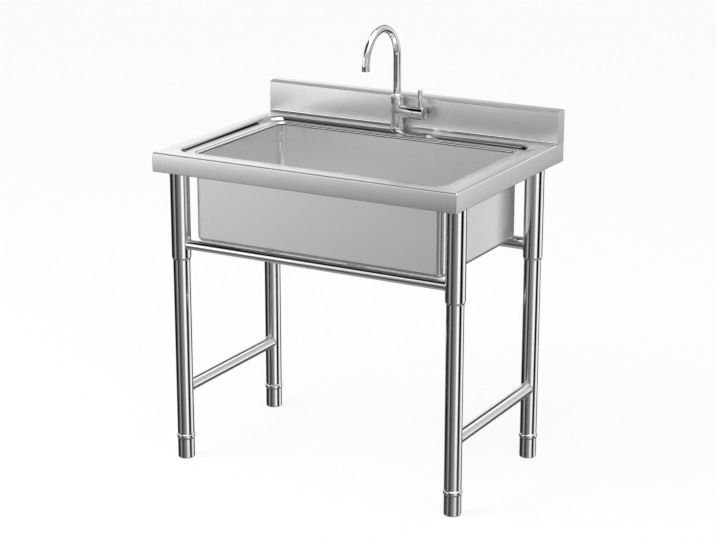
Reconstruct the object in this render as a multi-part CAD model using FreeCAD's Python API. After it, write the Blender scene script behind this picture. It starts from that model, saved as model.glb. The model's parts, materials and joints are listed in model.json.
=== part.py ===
import FreeCAD, Part
import math
import os

V = FreeCAD.Vector
X_AXIS, Y_AXIS, Z_AXIS = V(1, 0, 0), V(0, 1, 0), V(0, 0, 1)

# Utility laundry sink. X runs left to right, Y front to back, Z up from the floor.
# The origin is on the floor, under the middle of the worktop. All sizes are millimetres.

# Clearances between pieces
WELD_GAP = 0.05         # between a welded tube's saddle and the tube it meets
FIT_GAP = 0.1           # around a piece pushed into another
TRAVEL_GAP = 0.3        # between faces that move apart
THREAD_GAP = 0.05       # radial play of a turning or screwing shaft
PAST = 1.0              # how far a cutting or joined form reaches past a face

# Worktop: one pressed sheet with a raised border, a sunk inner ledge and a folded apron
TOP_LENGTH = 820.0
TOP_DEPTH = 584.0
TOP_HEIGHT = 800.0
SHEET = 1.2
APRON_HEIGHT = 48.0
RETURN_WIDTH = 8.0      # fold under the apron
TOP_BEND = 4.0
APRON_BEND = 2.0
APRON_CORNER = 2.5
BORDER_SIDE = 38.0
BORDER_FRONT = 39.0
BORDER_REAR = 42.0
LEDGE_DROP = 8.0
LEDGE_SLOPE = 12.0
LEDGE_CORNER = 36.0
LEDGE_BLEND = 3.0

# Splashback: one folded sheet that also closes the back of the worktop
SPLASH_HEIGHT = 82.0
SPLASH_DEPTH = 40.0
SPLASH_COVE = 6.0
SPLASH_SEAM = 1.5       # flat strip between the cove and the weld to the worktop
SPLASH_CHAMFER_RUN = 14.0
SPLASH_CHAMFER_RISE = 4.0
SPLASH_BEND = 3.0

# Bowl
BOWL_SIDE_INSET = 74.0
BOWL_FRONT_INSET = 75.0
BOWL_REAR_INSET = 111.0
BOWL_DEPTH = 230.0
BOWL_CORNER = 14.0
BOWL_FOOT_RADIUS = 12.0
RIM_RADIUS = 6.5
FLOOR_FALL = 4.0        # the floor falls this much to the drain
FLOOR_MARGIN = 24.0     # flat strip round the creased part of the floor

# Drain: 3 1/2 inch basket strainer with a 1 1/2 inch outlet
DRAIN_SEAT_PLAY = 2.0   # between the strainer's flange and the wall of its seat
DRAIN_SEAT_DROP = 5.0
DRAIN_HOLE_PLAY = 1.5
STRAINER_FLANGE_RADIUS = 56.0
STRAINER_FLANGE = 1.6
STRAINER_RADIUS = 43.5
STRAINER_WALL = 1.6
STRAINER_DEPTH = 46.0
STRAINER_FLOOR = 3.0
STRAINER_TAPER = 12.0
STRAINER_SHOULDER = 6.1
OUTLET_RADIUS = 23.9
OUTLET_WALL = 3.9
OUTLET_LENGTH = 20.0
GASKET_THICKNESS = 3.0
GASKET_WIDTH = 11.5
FRICTION_RING_THICKNESS = 1.2
LOCKNUT_HEIGHT = 12.0
LOCKNUT_WALL = 8.5
LOCKNUT_LUG_COUNT = 6
LOCKNUT_LUG_WIDTH = 10.0
LOCKNUT_LUG_REACH = 4.0
BASKET_PLAY = 1.9
BASKET_WALL = 1.0
BASKET_DEPTH = 32.0
BASKET_TAPER = 9.0      # the base's radius is this much less than the rim's
BASKET_HOLE_RADIUS = 2.2
BASKET_RING_RADII = (13.0, 20.0, 26.5)
BASKET_RING_HOLE_COUNTS = (8, 12, 16)
STOPPER_LAP = 5.0       # over the edge of the outlet
STOPPER_THICKNESS = 5.0
KNOB_RADIUS = 9.0
KNOB_STEM_RADIUS = 3.5
KNOB_HEIGHT = 8.0
KNOB_CHAMFER = 1.0

# Legs: a fixed upper sleeve, a thinner lower tube and a screw foot
LEG_SIDE_INSET = 33.5
LEG_AHEAD_OF_BOWL = 8.5     # front legs' axis in front of the bowl's front wall
LEG_BEHIND_BOWL = 17.0      # rear legs' axis behind the bowl's rear wall
SLEEVE_WALL = 1.5
SLEEVE_PLAY = 1.5       # radial, between sleeve and lower tube above the swage
SLEEVE_BELOW_BOWL = 48.0    # bowl's floor down to the sleeve's lower end
SWAGE_LENGTH = 6.0
SWAGE_LIP = 1.3
LEG_RADIUS = 21.0
LEG_WALL = 1.2
LEG_OVERLAP = 60.0      # length of lower tube inside the sleeve
COLLAR_STEP = 2.0       # radius over the leg's
COLLAR_HEIGHT = 13.0
COLLAR_ROUND = 4.5
COLLAR_HEIGHT_OVER_FLOOR = 52.0
PLUG_LENGTH = 25.0
FOOT_RADIUS = 21.0
FOOT_WALL = 1.6
FOOT_FLOOR = 4.0
FOOT_ROUND = 3.0
STUD_RADIUS = 7.0
STUD_END_GAP = 3.0

# Tubes that tie the legs together
FRONT_RAIL_RADIUS = 12.5
FRONT_RAIL_BELOW_BOWL = 9.0     # bowl's floor down to the rail's axis
REAR_RAIL_RADIUS = 16.0
REAR_RAIL_BELOW_BOWL = 13.0
STRETCHER_RADIUS = 16.0
STRETCHER_HEIGHT = 185.0
RAIL_WALL = 1.2

# Channels under the worktop that carry the sleeves
CHANNEL_HEIGHT = 30.0
CHANNEL_BEND = 2.5
CHANNEL_END_GAP = 1.0

# Tap, on the ledge behind the bowl
TAP_X = -20.0
TAP_INSET = 24.5        # centre of the tap's flange in front of the splashback
TAP_HOLE_PLAY = 1.0
FLANGE_STEP = 1.2       # radius over the body's
FLANGE_HEIGHT = 5.0
FLANGE_CHAMFER = 1.5
SEAL_THICKNESS = 1.5
SEAL_WIDTH = 2.0
BODY_RADIUS = 16.5
BODY_HEIGHT = 84.0
BODY_CHAMFER = 1.5
BARREL_RISE = 45.0      # worktop surface up to the side barrel's axis
BARREL_LENGTH = 50.0
POCKET_RADIUS = 13.0
POCKET_DEPTH = 28.0
SPOUT_RADIUS = 9.4
SPOUT_WALL = 1.2
SPOUT_BEND = 81.0
SPOUT_SPRING = 184.0    # worktop surface up to where the arch starts
SPOUT_TIP = 8.0
SPOUT_SOCKET = 22.0
BUSH_WALL = 1.5
SPOUT_SEAL = 1.7
RING_WIDTH = 3.5
RING_HEIGHT = 5.0
RING_CHAMFER = 3.0
AERATOR_STEP = 0.8      # radius over the spout's
AERATOR_LIP = 3.0
AERATOR_DEPTH = 12.0
AERATOR_WALL = 2.6
CARTRIDGE_LENGTH = 22.0
NUT_NOSE = 2.0          # how far the nut's dome reaches past the tilt axis
BALL_PLAY = 2.5         # between the ball and the nut's bore
PIVOT_OUT = 2.0         # the lever's tilt axis lies this far outside the barrel's end
BALL_RADIUS = 5.0
SPINDLE_RADIUS = 4.0
LEVER_TILT = 18.0       # degrees
CAP_LENGTH = 27.0
CAP_PLAY = 1.2          # radial, between the nut's pocket and the cap's cavity
CAP_CAVITY = 8.6
CAP_CHAMFER = 1.0
CAP_RIM = 4.0           # flat rim round the dished end
CAP_DISH = 0.8
LEVER_OUT = 15.0        # barrel's end to the lever's axis
LEVER_RADIUS = 5.5
LEVER_LENGTH = 43.0     # above the cap
LEVER_SEAT = 6.0        # depth of the lever's hole in the cap
LEVER_CHAMFER = 0.8
GRUB_RADIUS = 2.5
GRUB_LENGTH = 6.0
SHANK_RADIUS = 14.0
SHANK_WALL = 2.5
SHANK_DROP = 46.0       # below the worktop surface
INLET_RADIUS = 4.5
INLET_DEPTH = 12.0
INLET_SPACING = 11.2
CLAMP_WIDTH = 3.0
RUBBER_WASHER = 3.0
STEEL_WASHER = 1.5
SHANK_NUT_FLATS = 33.0
SHANK_NUT_HEIGHT = 10.0

# Places worked out from the sizes above
LEFT, RIGHT = -TOP_LENGTH / 2, TOP_LENGTH / 2
FRONT, BACK = -TOP_DEPTH / 2, TOP_DEPTH / 2
APRON_BOTTOM = TOP_HEIGHT - APRON_HEIGHT
LEDGE_TOP = TOP_HEIGHT - LEDGE_DROP
SPLASH_FACE = BACK - SPLASH_DEPTH
SPLASH_TOP = TOP_HEIGHT + SPLASH_HEIGHT
SEAM_Y = SPLASH_FACE - SPLASH_COVE - SPLASH_SEAM
BOWL_LENGTH = TOP_LENGTH - 2 * BOWL_SIDE_INSET
BOWL_FRONT = FRONT + BOWL_FRONT_INSET
BOWL_BACK = BACK - BOWL_REAR_INSET
BOWL_MIDDLE = (BOWL_FRONT + BOWL_BACK) / 2
BOWL_FLOOR = TOP_HEIGHT - BOWL_DEPTH
BOWL_WELD = BOWL_LENGTH / 2 - BOWL_FOOT_RADIUS
RIM_FOOT = LEDGE_TOP - RIM_RADIUS
DRAIN_SEAT = BOWL_FLOOR - FLOOR_FALL - DRAIN_SEAT_DROP
DRAIN_SEAT_RADIUS = STRAINER_FLANGE_RADIUS + DRAIN_SEAT_PLAY
DRAIN_HOLE_RADIUS = STRAINER_RADIUS + DRAIN_HOLE_PLAY
GASKET_RADIUS = STRAINER_RADIUS + GASKET_WIDTH
LOCKNUT_RADIUS = STRAINER_RADIUS + LOCKNUT_WALL
STRAINER_NECK_RADIUS = OUTLET_RADIUS + STRAINER_SHOULDER
OUTLET_BORE = OUTLET_RADIUS - OUTLET_WALL
BASKET_RADIUS = STRAINER_RADIUS - STRAINER_WALL - BASKET_PLAY
BASKET_BASE_RADIUS = BASKET_RADIUS - BASKET_TAPER
STOPPER_RADIUS = OUTLET_BORE + STOPPER_LAP
STRAINER_BOTTOM = DRAIN_SEAT - STRAINER_DEPTH
STRAINER_INSIDE = STRAINER_BOTTOM + STRAINER_FLOOR
SLEEVE_RADIUS = LEG_RADIUS + SLEEVE_PLAY + SLEEVE_WALL
COLLAR_RADIUS = LEG_RADIUS + COLLAR_STEP
CHANNEL_WIDTH = 2 * (SLEEVE_RADIUS + CHANNEL_BEND)
LEG_X = RIGHT - LEG_SIDE_INSET
LEG_FRONT_Y = BOWL_FRONT - LEG_AHEAD_OF_BOWL
LEG_REAR_Y = BOWL_BACK + LEG_BEHIND_BOWL
CHANNEL_TOP = LEDGE_TOP - SHEET
SLEEVE_TOP = CHANNEL_TOP - SHEET
SLEEVE_BOTTOM = BOWL_FLOOR - SLEEVE_BELOW_BOWL
LEG_TOP = SLEEVE_BOTTOM + LEG_OVERLAP
COLLAR_TOP = COLLAR_HEIGHT_OVER_FLOOR + COLLAR_HEIGHT
TAP_Y = SPLASH_FACE - TAP_INSET
FLANGE_RADIUS = BODY_RADIUS + FLANGE_STEP
SEAL_RADIUS = SHANK_RADIUS + SEAL_WIDTH
SHANK_BORE = SHANK_RADIUS - SHANK_WALL
CLAMP_WASHER_RADIUS = SHANK_RADIUS + CLAMP_WIDTH
RING_RADIUS = SPOUT_RADIUS + FIT_GAP + RING_WIDTH
AERATOR_RADIUS = SPOUT_RADIUS + AERATOR_STEP
NUT_BORE = BALL_RADIUS + BALL_PLAY
CAP_BORE = POCKET_RADIUS + CAP_PLAY
BARREL_Z = TOP_HEIGHT + BARREL_RISE
BARREL_END = TAP_X + BARREL_LENGTH
PIVOT_X = BARREL_END + PIVOT_OUT
BODY_TOP = TOP_HEIGHT + BODY_HEIGHT
SOCKET_FLOOR = BODY_TOP - SPOUT_SOCKET
SPRING_Z = TOP_HEIGHT + SPOUT_SPRING

LEGS = {
    "front_left": (-LEG_X, LEG_FRONT_Y),
    "front_right": (LEG_X, LEG_FRONT_Y),
    "rear_left": (-LEG_X, LEG_REAR_Y),
    "rear_right": (LEG_X, LEG_REAR_Y),
}


# Shared operations

def rounded_rectangle(x0, x1, y0, y1, radius, z):
    """A closed wire with four equal round corners, level at height z."""
    corners = [(x1 - radius, y0 + radius), (x1 - radius, y1 - radius),
               (x0 + radius, y1 - radius), (x0 + radius, y0 + radius)]
    arcs = []
    for index, (x, y) in enumerate(corners):
        start = (index - 1) * math.pi / 2
        circle = Part.Circle(V(x, y, z), Z_AXIS, radius)
        arcs.append(Part.ArcOfCircle(circle, start, start + math.pi / 2).toShape())
    edges = []
    for here, following in zip(arcs, arcs[1:] + arcs[:1]):
        edges.append(here)
        edges.append(Part.makeLine(here.Vertexes[-1].Point, following.Vertexes[0].Point))
    return Part.Wire(edges)


def rounded_prism(x0, x1, y0, y1, radius, z0, z1):
    face = Part.Face(rounded_rectangle(x0, x1, y0, y1, radius, z0))
    return face.extrude(V(0, 0, z1 - z0))


def box(x0, x1, y0, y1, z0, z1):
    return Part.makeBox(x1 - x0, y1 - y0, z1 - z0, V(x0, y0, z0))


def edges_where(shape, test):
    return [edge for edge in shape.Edges if test(edge.BoundBox)]


def near(value, target):
    return abs(value - target) < 0.01


def upright(x, y, radius, z0, z1):
    return Part.makeCylinder(radius, z1 - z0, V(x, y, z0), Z_AXIS)


def ring(x, y, inner, outer, z0, z1):
    return upright(x, y, outer, z0, z1).cut(upright(x, y, inner, z0, z1))


def turned(profile, x, y):
    """Revolve (radius, height) points about the upright axis through x, y."""
    points = [V(x + r, y, z) for r, z in profile]
    face = Part.Face(Part.makePolygon(points + points[:1]))
    return face.revolve(V(x, y, 0), Z_AXIS, 360)


def offset_line(points, distance):
    """Shift an open run of straight folds sideways, to the left of its direction."""
    shifted = []
    for (ax, ay), (bx, by) in zip(points, points[1:]):
        length = math.hypot(bx - ax, by - ay)
        nx, ny = -(by - ay) / length * distance, (bx - ax) / length * distance
        shifted.append(((ax + nx, ay + ny), (bx + nx, by + ny)))
    result = [shifted[0][0]]
    for (a, b), (c, d) in zip(shifted, shifted[1:]):
        ux, uy, wx, wy = b[0] - a[0], b[1] - a[1], d[0] - c[0], d[1] - c[1]
        t = ((c[0] - a[0]) * wy - (c[1] - a[1]) * wx) / (ux * wy - uy * wx)
        result.append((a[0] + t * ux, a[1] + t * uy))
    return result + [shifted[-1][1]]


def bent_line(points, radii, place):
    """Edges through points, with a tangent arc of each inner point's radius."""
    edges = []
    start = points[0]
    for before, corner, after, radius in zip(points, points[1:], points[2:], radii):
        a = V(before[0] - corner[0], before[1] - corner[1], 0).normalize()
        b = V(after[0] - corner[0], after[1] - corner[1], 0).normalize()
        half = a.getAngle(b) / 2
        reach = radius / math.tan(half)
        middle = (a + b).normalize() * (radius / math.sin(half) - radius)
        first = (corner[0] + a.x * reach, corner[1] + a.y * reach)
        last = (corner[0] + b.x * reach, corner[1] + b.y * reach)
        crown = (corner[0] + middle.x, corner[1] + middle.y)
        edges.append(Part.makeLine(place(*start), place(*first)))
        edges.append(Part.Arc(place(*first), place(*crown), place(*last)).toShape())
        start = last
    edges.append(Part.makeLine(place(*start), place(*points[-1])))
    return edges


def folded_section(points, radii, turns, place):
    """Section of a folded sheet: visible skin along points, metal to its left.

    turns holds +1 for a fold to the left and -1 for one to the right.
    """
    hidden = offset_line(points, SHEET)
    hidden_radii = [radius - turn * SHEET for radius, turn in zip(radii, turns)]
    skin = bent_line(points, radii, place)
    back = bent_line(hidden, hidden_radii, place)
    ends = [Part.makeLine(place(*points[0]), place(*hidden[0])),
            Part.makeLine(place(*points[-1]), place(*hidden[-1]))]
    return Part.Face(Part.Wire(Part.__sortEdges__(skin + back + ends)))


# Worktop and splashback

def top_form(skin):
    """The solid under the worktop's visible skin, or under its hidden skin."""
    x0, x1, y0 = LEFT + skin, RIGHT - skin, FRONT + skin
    z0, z1 = APRON_BOTTOM + skin, TOP_HEIGHT - skin
    form = box(x0, x1, y0, SPLASH_FACE + skin, z0, z1)
    corners = edges_where(form, lambda b: near(b.YMax, y0) and b.ZLength > 1)
    form = form.makeFillet(APRON_CORNER - skin, corners)
    open_back = SPLASH_FACE + skin
    upper = edges_where(form, lambda b: near(b.ZMin, z1) and not near(b.YMin, open_back))
    form = form.makeFillet(TOP_BEND - skin, upper)
    lower = edges_where(form, lambda b: near(b.ZMax, z0) and not near(b.YMin, open_back))
    form = form.makeFillet(APRON_BEND - skin, lower)
    form = form.cut(ledge_form(skin))
    return form.cut(bowl_mouth(skin, z0))


def ledge_form(skin):
    """The sunk part of the worktop, from its upper bend line to its flat."""
    spread = skin * (math.hypot(LEDGE_SLOPE, LEDGE_DROP) - LEDGE_SLOPE) / LEDGE_DROP
    wires = []
    for inset, z in ((0, TOP_HEIGHT), (LEDGE_SLOPE, LEDGE_TOP)):
        grow = spread - inset
        wires.append(rounded_rectangle(LEFT + BORDER_SIDE - grow, RIGHT - BORDER_SIDE + grow,
                                       FRONT + BORDER_FRONT - grow, SPLASH_FACE - BORDER_REAR + grow,
                                       LEDGE_CORNER + grow, z - skin))
    ledge = Part.makeLoft(wires, True, True)
    foot = edges_where(ledge, lambda b: near(b.ZMax, LEDGE_TOP - skin))
    return ledge.makeFillet(LEDGE_BLEND + skin, foot)


def bowl_mouth(skin, bottom):
    """The hole for the bowl, flared where the rim rolls over into the ledge."""
    grow = skin
    hole = rounded_prism(-BOWL_LENGTH / 2 - grow, BOWL_LENGTH / 2 + grow, BOWL_FRONT - grow,
                         BOWL_BACK + grow, BOWL_CORNER + grow, bottom - PAST, LEDGE_TOP - skin)
    flare = RIM_RADIUS - skin
    top = LEDGE_TOP - skin
    wide = rounded_prism(-BOWL_LENGTH / 2 - RIM_RADIUS, BOWL_LENGTH / 2 + RIM_RADIUS,
                         BOWL_FRONT - RIM_RADIUS, BOWL_BACK + RIM_RADIUS,
                         BOWL_CORNER + RIM_RADIUS, top - flare, top + PAST)
    lip = rounded_prism(-BOWL_LENGTH / 2 - 2 * RIM_RADIUS, BOWL_LENGTH / 2 + 2 * RIM_RADIUS,
                        BOWL_FRONT - 2 * RIM_RADIUS, BOWL_BACK + 2 * RIM_RADIUS,
                        BOWL_CORNER + 2 * RIM_RADIUS, top - flare, top)
    lip = lip.cut(hole)
    crest = edges_where(lip, lambda b: near(b.ZMin, top) and b.XMax < BOWL_LENGTH / 2 + RIM_RADIUS)
    lip = lip.makeFillet(flare - 0.001, crest)
    return hole.fuse(wide.cut(lip))


def worktop():
    shell = top_form(0).cut(top_form(SHEET))
    lip = RETURN_WIDTH + SHEET
    below = APRON_BOTTOM - PAST
    shell = shell.cut(box(LEFT + lip, RIGHT - lip, FRONT + lip, BACK, below, APRON_BOTTOM + SHEET))
    well = SHEET + FIT_GAP
    shell = shell.cut(rounded_prism(-BOWL_LENGTH / 2 - well, BOWL_LENGTH / 2 + well,
                                    BOWL_FRONT - well, BOWL_BACK + well,
                                    BOWL_CORNER + well, below, RIM_FOOT))
    shell = shell.cut(box(LEFT + SHEET, RIGHT - SHEET, SEAM_Y, BACK, below, TOP_HEIGHT + PAST))
    notches = [upright(x, y, SLEEVE_RADIUS + FIT_GAP, below, APRON_BOTTOM + APRON_BEND)
               for x, y in LEGS.values()]
    tap_hole = upright(TAP_X, TAP_Y, SHANK_RADIUS + TAP_HOLE_PLAY, LEDGE_TOP, TOP_HEIGHT + PAST)
    return shell.cut(notches + [tap_hole])


def splash_outline():
    """Visible skin of the splashback from the cove, over the top and down the back."""
    return [(SEAM_Y, TOP_HEIGHT), (SPLASH_FACE, TOP_HEIGHT),
            (SPLASH_FACE, SPLASH_TOP - SPLASH_CHAMFER_RISE),
            (SPLASH_FACE + SPLASH_CHAMFER_RUN, SPLASH_TOP), (BACK, SPLASH_TOP),
            (BACK, APRON_BOTTOM), (BACK - RETURN_WIDTH, APRON_BOTTOM)]


def splashback():
    x0, x1 = LEFT + SHEET, RIGHT - SHEET
    points = splash_outline()
    radii = [SPLASH_COVE, SPLASH_BEND, SPLASH_BEND, SPLASH_BEND, APRON_BEND]
    section = folded_section(points[::-1], radii[::-1], [1, 1, 1, 1, -1],
                             lambda y, z: V(x0, y, z))
    return section.extrude(V(x1 - x0, 0, 0))


def splash_end(side):
    """Flat plate that closes one end of the splashback, flush with the apron."""
    x = RIGHT - SHEET if side > 0 else LEFT
    outline = splash_outline()[2:6]
    start = (SPLASH_FACE, APRON_BOTTOM)
    points = [start] + outline + [start]
    edges = bent_line(points, [SPLASH_BEND, SPLASH_BEND, SPLASH_BEND, APRON_BEND],
                      lambda y, z: V(x, y, z))
    plate = Part.Face(Part.Wire(edges)).extrude(V(SHEET, 0, 0))
    return plate


def side_channel(side):
    """Inverted U channel, front to back, that the leg sleeves stand up into."""
    half = CHANNEL_WIDTH / 2
    y0, y1 = FRONT + SHEET + CHANNEL_END_GAP, BACK - SHEET - CHANNEL_END_GAP
    x = side * LEG_X
    foot = CHANNEL_TOP - CHANNEL_HEIGHT
    points = [(x + half, foot), (x + half, CHANNEL_TOP), (x - half, CHANNEL_TOP), (x - half, foot)]
    section = folded_section(points, [CHANNEL_BEND] * 2, [1, 1], lambda px, pz: V(px, y0, pz))
    return section.extrude(V(0, y1 - y0, 0))


# Bowl and drain

def bowl_form(skin):
    """The hollow of the bowl, or the outside of its sheet."""
    half = BOWL_LENGTH / 2 + skin
    form = rounded_prism(-half, half, BOWL_FRONT - skin, BOWL_BACK + skin,
                         BOWL_CORNER + skin, BOWL_FLOOR - skin, RIM_FOOT)
    foot = edges_where(form, lambda b: near(b.ZMax, BOWL_FLOOR - skin))
    form = form.makeFillet(BOWL_FOOT_RADIUS + skin, foot)
    return form.fuse([floor_fall(skin), upright(0, BOWL_MIDDLE, DRAIN_SEAT_RADIUS + skin,
                                                DRAIN_SEAT - skin, BOWL_FLOOR - skin)])


def floor_fall(skin):
    """Shallow four-sided dish with creases from the corners to the drain."""
    x = BOWL_LENGTH / 2 - FLOOR_MARGIN
    y0, y1 = BOWL_FRONT + FLOOR_MARGIN, BOWL_BACK - FLOOR_MARGIN
    z = BOWL_FLOOR - skin
    base = [V(-x, y0, z), V(x, y0, z), V(x, y1, z), V(-x, y1, z)]
    low = V(0, BOWL_MIDDLE, z - FLOOR_FALL)
    faces = [Part.Face(Part.makePolygon([a, b, low, a])) for a, b in zip(base, base[1:] + base[:1])]
    faces.append(Part.Face(Part.makePolygon(base + base[:1])))
    return Part.makeSolid(Part.makeShell(faces))


def bowl_sheet():
    sheet = bowl_form(SHEET).cut(bowl_form(0))
    return sheet.cut(upright(0, BOWL_MIDDLE, DRAIN_HOLE_RADIUS, DRAIN_SEAT - SHEET - PAST, BOWL_FLOOR))


def bowl():
    """Front, floor and back, bent from one sheet between the two ends."""
    return bowl_sheet().common(box(-BOWL_WELD, BOWL_WELD, FRONT, BACK, 0, TOP_HEIGHT))


def bowl_end(side):
    """Pressed end with the bowl's corners on it, butt-welded where the foot's bend starts."""
    x0, x1 = sorted([side * BOWL_WELD, side * TOP_LENGTH / 2])
    return bowl_sheet().common(box(x0, x1, FRONT, BACK, 0, TOP_HEIGHT))


def strainer_body():
    """Drain cup: flange in the bowl's seat, threaded wall, tapered foot and outlet."""
    top = DRAIN_SEAT + STRAINER_FLANGE
    taper_top = STRAINER_BOTTOM + STRAINER_TAPER
    inner = STRAINER_RADIUS - STRAINER_WALL
    neck = STRAINER_NECK_RADIUS
    profile = [
        (inner, top), (STRAINER_FLANGE_RADIUS, top), (STRAINER_FLANGE_RADIUS, DRAIN_SEAT),
        (STRAINER_RADIUS, DRAIN_SEAT), (STRAINER_RADIUS, taper_top), (neck, STRAINER_BOTTOM),
        (OUTLET_RADIUS, STRAINER_BOTTOM), (OUTLET_RADIUS, STRAINER_BOTTOM - OUTLET_LENGTH),
        (OUTLET_BORE, STRAINER_BOTTOM - OUTLET_LENGTH), (OUTLET_BORE, STRAINER_INSIDE),
        (neck - STRAINER_WALL, STRAINER_INSIDE), (inner, taper_top + STRAINER_FLOOR)]
    return turned(profile, 0, BOWL_MIDDLE)


def drain_gasket():
    top = DRAIN_SEAT - SHEET
    return ring(0, BOWL_MIDDLE, STRAINER_RADIUS + FIT_GAP, GASKET_RADIUS, top - GASKET_THICKNESS, top)


def drain_friction_ring():
    top = DRAIN_SEAT - SHEET - GASKET_THICKNESS
    return ring(0, BOWL_MIDDLE, STRAINER_RADIUS + FIT_GAP, GASKET_RADIUS,
                top - FRICTION_RING_THICKNESS, top)


def drain_locknut():
    top = DRAIN_SEAT - SHEET - GASKET_THICKNESS - FRICTION_RING_THICKNESS
    bottom = top - LOCKNUT_HEIGHT
    nut = upright(0, BOWL_MIDDLE, LOCKNUT_RADIUS, bottom, top)
    reach = LOCKNUT_RADIUS + LOCKNUT_LUG_REACH
    lug = box(LOCKNUT_RADIUS - LOCKNUT_LUG_REACH, reach, BOWL_MIDDLE - LOCKNUT_LUG_WIDTH / 2,
              BOWL_MIDDLE + LOCKNUT_LUG_WIDTH / 2, bottom, top)
    lugs = []
    for index in range(LOCKNUT_LUG_COUNT):
        copy = lug.copy()
        copy.rotate(V(0, BOWL_MIDDLE, 0), Z_AXIS, index * 360 / LOCKNUT_LUG_COUNT)
        lugs.append(copy)
    nut = nut.fuse(lugs)
    return nut.cut(upright(0, BOWL_MIDDLE, STRAINER_RADIUS + FIT_GAP, bottom - PAST, top + PAST))


def stopper_levels():
    bottom = STRAINER_INSIDE + TRAVEL_GAP
    return bottom, bottom + STOPPER_THICKNESS


def strainer_basket():
    """Perforated lift-out cup that stands on the stopper."""
    low = stopper_levels()[1]
    high = low + BASKET_DEPTH
    profile = [
        (KNOB_STEM_RADIUS + FIT_GAP, low), (BASKET_BASE_RADIUS, low), (BASKET_RADIUS, high),
        (BASKET_RADIUS - BASKET_WALL, high), (BASKET_BASE_RADIUS - BASKET_WALL, low + BASKET_WALL),
        (KNOB_STEM_RADIUS + FIT_GAP, low + BASKET_WALL)]
    cup = turned(profile, 0, BOWL_MIDDLE)
    drills = []
    for ring_radius, count in zip(BASKET_RING_RADII, BASKET_RING_HOLE_COUNTS):
        for index in range(count):
            angle = 2 * math.pi * index / count
            x, y = ring_radius * math.cos(angle), BOWL_MIDDLE + ring_radius * math.sin(angle)
            drills.append(upright(x, y, BASKET_HOLE_RADIUS, low - PAST, low + BASKET_WALL + PAST))
    return cup.cut(drills)


def basket_stopper():
    bottom, top = stopper_levels()
    return ring(0, BOWL_MIDDLE, KNOB_STEM_RADIUS + FIT_GAP, STOPPER_RADIUS, bottom, top)


def basket_knob():
    """Stem through basket and stopper, with a waisted grip on top."""
    bottom, seat = stopper_levels()
    top = seat + BASKET_DEPTH + KNOB_HEIGHT
    grip = top - KNOB_HEIGHT
    profile = [
        (0, bottom), (KNOB_STEM_RADIUS, bottom), (KNOB_STEM_RADIUS, grip - KNOB_HEIGHT / 2),
        (KNOB_RADIUS, grip), (KNOB_RADIUS, top - KNOB_CHAMFER), (KNOB_RADIUS - KNOB_CHAMFER, top), (0, top)]
    return turned(profile, 0, BOWL_MIDDLE)


# Legs

def leg_sleeve(x, y):
    """Upper leg tube, swaged in at its lower end to grip the lower tube."""
    outer, inner = SLEEVE_RADIUS, SLEEVE_RADIUS - SLEEVE_WALL
    lip = LEG_RADIUS + FIT_GAP
    profile = [
        (inner, SLEEVE_TOP), (outer, SLEEVE_TOP), (outer, SLEEVE_BOTTOM + SWAGE_LENGTH),
        (lip + SWAGE_LIP, SLEEVE_BOTTOM), (lip, SLEEVE_BOTTOM),
        (lip, SLEEVE_BOTTOM + SWAGE_LENGTH / 2), (inner, SLEEVE_BOTTOM + 1.5 * SWAGE_LENGTH)]
    return turned(profile, x, y)


def lower_leg(x, y):
    return ring(x, y, LEG_RADIUS - LEG_WALL, LEG_RADIUS, COLLAR_TOP, LEG_TOP)


def foot_collar(x, y):
    """Rounded collar with a plug up inside the leg and a threaded hole."""
    collar = upright(x, y, COLLAR_RADIUS, COLLAR_HEIGHT_OVER_FLOOR, COLLAR_TOP)
    collar = collar.makeFillet(COLLAR_ROUND, edges_where(collar, lambda b: near(b.ZLength, 0)))
    plug = upright(x, y, LEG_RADIUS - LEG_WALL - FIT_GAP, COLLAR_TOP - PAST, COLLAR_TOP + PLUG_LENGTH)
    hole = upright(x, y, STUD_RADIUS + THREAD_GAP, COLLAR_HEIGHT_OVER_FLOOR - PAST,
                   COLLAR_TOP + PLUG_LENGTH + PAST)
    return collar.fuse(plug).cut(hole)


def levelling_foot(x, y):
    """Screw foot: a cup the width of the leg, with its stud up in the collar."""
    top = COLLAR_HEIGHT_OVER_FLOOR - TRAVEL_GAP
    cup = upright(x, y, FOOT_RADIUS, 0, top)
    cup = cup.makeFillet(FOOT_ROUND, edges_where(cup, lambda b: near(b.ZMax, 0)))
    cup = cup.cut(upright(x, y, FOOT_RADIUS - FOOT_WALL, FOOT_FLOOR, top + PAST))
    stud = upright(x, y, STUD_RADIUS, FOOT_FLOOR - PAST, COLLAR_TOP + PLUG_LENGTH - STUD_END_GAP)
    return cup.fuse(stud)


def welded_tube(start, end, radius, post_radius):
    """Tube between two upright posts, its ends cut to sit round them."""
    run = end - start
    tube = Part.makeCylinder(radius, run.Length, start, run)
    tube = tube.cut(Part.makeCylinder(radius - RAIL_WALL, run.Length, start, run))
    reach = 2 * radius
    posts = [upright(p.x, p.y, post_radius + WELD_GAP, p.z - reach, p.z + reach) for p in (start, end)]
    return tube.cut(posts)


def front_rail():
    z = BOWL_FLOOR - FRONT_RAIL_BELOW_BOWL
    return welded_tube(V(-LEG_X, LEG_FRONT_Y, z), V(LEG_X, LEG_FRONT_Y, z),
                       FRONT_RAIL_RADIUS, SLEEVE_RADIUS)


def rear_rail():
    z = BOWL_FLOOR - REAR_RAIL_BELOW_BOWL
    return welded_tube(V(-LEG_X, LEG_REAR_Y, z), V(LEG_X, LEG_REAR_Y, z),
                       REAR_RAIL_RADIUS, SLEEVE_RADIUS)


def side_stretcher(side):
    x = side * LEG_X
    return welded_tube(V(x, LEG_FRONT_Y, STRETCHER_HEIGHT), V(x, LEG_REAR_Y, STRETCHER_HEIGHT),
                       STRETCHER_RADIUS, LEG_RADIUS)


# Tap

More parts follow.
